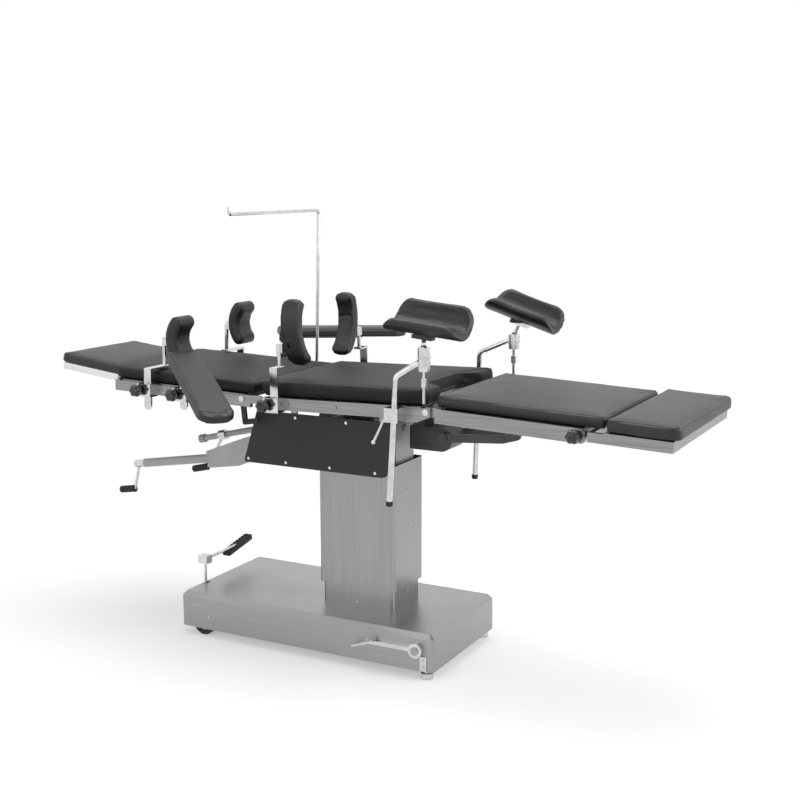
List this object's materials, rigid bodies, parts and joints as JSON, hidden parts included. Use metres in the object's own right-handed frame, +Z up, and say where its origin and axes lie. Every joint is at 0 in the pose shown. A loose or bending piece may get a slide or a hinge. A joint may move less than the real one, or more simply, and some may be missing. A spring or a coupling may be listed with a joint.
{
  "type": "operating table",
  "caption": "Surgical operating table on a pedestal with a jointed cushioned top, crank and pedal controls, and rail-mounted arm, leg, shoulder and body supports.",
  "frame": {"origin": "on the floor under the middle of the column", "axes": "+X along the tabletop to the foot end, +Z up, -Y the side with the brake pedal and the front crank"},
  "size_m": [2.0984, 1.113, 1.3467],
  "materials": {
    "steel": "brushed stainless",
    "rail_steel": "polished stainless",
    "chrome": "chrome plate",
    "black_paint": "satin black",
    "dark_paint": "dark grey enamel",
    "grey_paint": "light grey enamel",
    "aluminium": "satin anodised",
    "cover": "black coated upholstery, matt",
    "rubber": "matt black",
    "castor": "matt dark grey",
    "knob": "black moulded"
  },
  "bodies": {
    "base": {"base_cover": "steel", "base_chassis": "dark_paint", "lower_shroud": "steel", "hydraulic_cylinder": "steel"},
    "head_wheel_near": {"head_wheel_near": "castor"},
    "head_wheel_far": {"head_wheel_far": "castor"},
    "foot_wheel_near": {"foot_wheel_near": "castor"},
    "foot_wheel_far": {"foot_wheel_far": "castor"},
    "jacks": {"floor_jacks": "chrome"},
    "brake": {"brake_pedal": "chrome"},
    "pump": {"pump_lever": "chrome", "pump_pedal_pad": "rubber"},
    "column": {"column_ram": "chrome", "column_head": "grey_paint", "upper_shroud": "steel"},
    "cradle": {"tilt_cradle": "grey_paint"},
    "seat": {"seat_frame": "rail_steel", "hinge_pins": "chrome", "seat_pad": "cover", "side_skirts": "black_paint", "skirt_screws": "chrome", "leg_gearbox": "dark_paint", "control_housing": "grey_paint", "rail_clamps_seat": "chrome", "clamp_knobs_seat": "knob"},
    "back": {"back_frame": "rail_steel", "back_pad": "cover", "back_lever": "black_paint", "rail_clamps_back": "chrome", "clamp_knobs_back": "knob", "arm_posts": "chrome"},
    "head": {"head_frame": "aluminium", "head_pad": "cover"},
    "leg": {"leg_frame": "rail_steel", "leg_pad": "cover", "foot_knobs": "knob"},
    "leg_arm": {"leg_arm": "dark_paint"},
    "foot": {"foot_frame": "rail_steel", "foot_pad": "cover"},
    "front_crank": {"front_crank": "chrome"},
    "front_grip": {"front_grip": "rubber"},
    "rear_crank": {"rear_crank": "chrome"},
    "rear_grip": {"rear_grip": "rubber"},
    "shoulder_near": {"shoulder_bar_near": "chrome", "shoulder_pad_near": "cover"},
    "shoulder_far": {"shoulder_bar_far": "chrome", "shoulder_pad_far": "cover"},
    "body_near": {"body_bar_near": "chrome", "body_pad_near": "cover"},
    "body_far": {"body_bar_far": "chrome", "body_pad_far": "cover"},
    "arm_near": {"arm_board_near": "cover"},
    "arm_far": {"arm_board_far": "cover"},
    "holder_near": {"leg_rod_near": "chrome"},
    "holder_far": {"leg_rod_far": "chrome"},
    "trough_near": {"leg_joint_near": "chrome", "leg_holder_pad_near": "cover"},
    "trough_far": {"leg_joint_far": "chrome", "leg_holder_pad_far": "cover"},
    "screen": {"screen_frame": "chrome"}
  },
  "joints": [
    {"name": "head_wheel_near_spin", "type": "hinge", "parent": "base", "child": "head_wheel_near", "pos_m": [-0.498, -0.19, 0.038], "axis": [0, 1, 0], "continuous": true},
    {"name": "head_wheel_far_spin", "type": "hinge", "parent": "base", "child": "head_wheel_far", "pos_m": [-0.498, 0.19, 0.038], "axis": [0, 1, 0], "continuous": true},
    {"name": "foot_wheel_near_spin", "type": "hinge", "parent": "base", "child": "foot_wheel_near", "pos_m": [0.205, -0.08, 0.038], "axis": [0, 1, 0], "continuous": true},
    {"name": "foot_wheel_far_spin", "type": "hinge", "parent": "base", "child": "foot_wheel_far", "pos_m": [0.205, 0.08, 0.038], "axis": [0, 1, 0], "continuous": true},
    {"name": "jack_lift", "type": "slide", "parent": "base", "child": "jacks", "axis": [0, 0, 1], "range_m": [0, 0.012]},
    {"name": "brake_pedal_hinge", "type": "hinge", "parent": "base", "child": "brake", "pos_m": [0.269, -0.2183, 0.09], "axis": [0, 1, 0], "range_deg": [0, 15]},
    {"name": "pump_hinge", "type": "hinge", "parent": "base", "child": "pump", "pos_m": [-0.55, -0.117, 0.114], "axis": [1, 0, 0], "range_deg": [-12, 0], "stiffness_Nm_per_rad": 10, "springref_deg": 6.88},
    {"name": "column_lift", "type": "slide", "parent": "base", "child": "column", "axis": [0, 0, 1], "range_m": [-0.06, 0.19]},
    {"name": "side_tilt", "type": "hinge", "parent": "column", "child": "cradle", "pos_m": [0, 0, 0.69], "axis": [1, 0, 0], "range_deg": [-20, 20]},
    {"name": "end_tilt", "type": "hinge", "parent": "cradle", "child": "seat", "pos_m": [0, 0, 0.69], "axis": [0, -1, 0], "range_deg": [-18, 18]},
    {"name": "back_hinge", "type": "hinge", "parent": "seat", "child": "back", "pos_m": [-0.28993, 0, 0.78595], "axis": [0, 1, 0], "range_deg": [-10, 60]},
    {"name": "head_hinge", "type": "hinge", "parent": "back", "child": "head", "pos_m": [-0.83983, 0, 0.7973], "axis": [0, 1, 0], "range_deg": [-60, 45]},
    {"name": "leg_hinge", "type": "hinge", "parent": "seat", "child": "leg", "pos_m": [0.32099, 0, 0.79687], "axis": [0, 1, 0], "range_deg": [-15, 86]},
    {"name": "leg_arm_hinge", "type": "hinge", "parent": "seat", "child": "leg_arm", "pos_m": [0.27, 0, 0.682], "axis": [0, 1, 0], "range_deg": [-18, 100]},
    {"name": "foot_slide", "type": "slide", "parent": "leg", "child": "foot", "axis": [0.9993, 0, -0.0384], "range_m": [0, 0.12]},
    {"name": "front_crank_spin", "type": "hinge", "parent": "seat", "child": "front_crank", "pos_m": [-0.739, -0.165, 0.526], "axis": [-0.9872, 0, -0.1598], "continuous": true},
    {"name": "front_grip_spin", "type": "hinge", "parent": "front_crank", "child": "front_grip", "pos_m": [-0.786, -0.165, 0.436], "axis": [-0.9872, 0, -0.1598], "continuous": true},
    {"name": "rear_crank_spin", "type": "hinge", "parent": "seat", "child": "rear_crank", "pos_m": [-0.534, -0.02, 0.61125], "axis": [-0.9725, 0, -0.233], "continuous": true},
    {"name": "rear_grip_spin", "type": "hinge", "parent": "rear_crank", "child": "rear_grip", "pos_m": [-0.601, -0.02, 0.499], "axis": [-0.9725, 0, -0.233], "continuous": true},
    {"name": "shoulder_near_slide", "type": "slide", "parent": "back", "child": "shoulder_near", "axis": [0.0279, 0, 0.9996], "range_m": [0, 0.045]},
    {"name": "shoulder_far_slide", "type": "slide", "parent": "back", "child": "shoulder_far", "axis": [0.0279, 0, 0.9996], "range_m": [0, 0.045]},
    {"name": "body_near_slide", "type": "slide", "parent": "seat", "child": "body_near", "axis": [-0.0244, 0, 0.9997], "range_m": [-0.015, 0.015]},
    {"name": "body_far_slide", "type": "slide", "parent": "seat", "child": "body_far", "axis": [-0.0244, 0, 0.9997], "range_m": [-0.015, 0.015]},
    {"name": "arm_near_swing", "type": "hinge", "parent": "back", "child": "arm_near", "pos_m": [-0.49117, -0.272, 0.8696], "axis": [0.0279, 0, 0.9996], "range_deg": [-50, 10]},
    {"name": "arm_far_swing", "type": "hinge", "parent": "back", "child": "arm_far", "pos_m": [-0.4857, 0.272, 0.88645], "axis": [0.0279, 0, 0.9996], "range_deg": [-5, 45]},
    {"name": "holder_near_slide", "type": "slide", "parent": "seat", "child": "holder_near", "axis": [0.0602, 0, 0.9982], "range_m": [0, 0.12]},
    {"name": "trough_near_tilt", "type": "hinge", "parent": "holder_near", "child": "trough_near", "pos_m": [0.316, -0.265, 0.972], "axis": [0, 1, 0], "range_deg": [-20, 20]},
    {"name": "holder_far_slide", "type": "slide", "parent": "seat", "child": "holder_far", "axis": [0.0322, 0, 0.9995], "range_m": [0, 0.12]},
    {"name": "trough_far_tilt", "type": "hinge", "parent": "holder_far", "child": "trough_far", "pos_m": [0.348, 0.285, 0.949], "axis": [0, 1, 0], "range_deg": [-30, 15]},
    {"name": "screen_slide", "type": "slide", "parent": "back", "child": "screen", "axis": [0.0279, 0, 0.9996], "range_m": [-0.3, 0.02]}
  ],
  "couplings": [
    {"joint": "leg_arm_hinge", "follows": "leg_hinge", "ratio": 1.15},
    {"joint": "jack_lift", "follows": "brake_pedal_hinge", "m_per_rad": 0.04545}
  ]
}
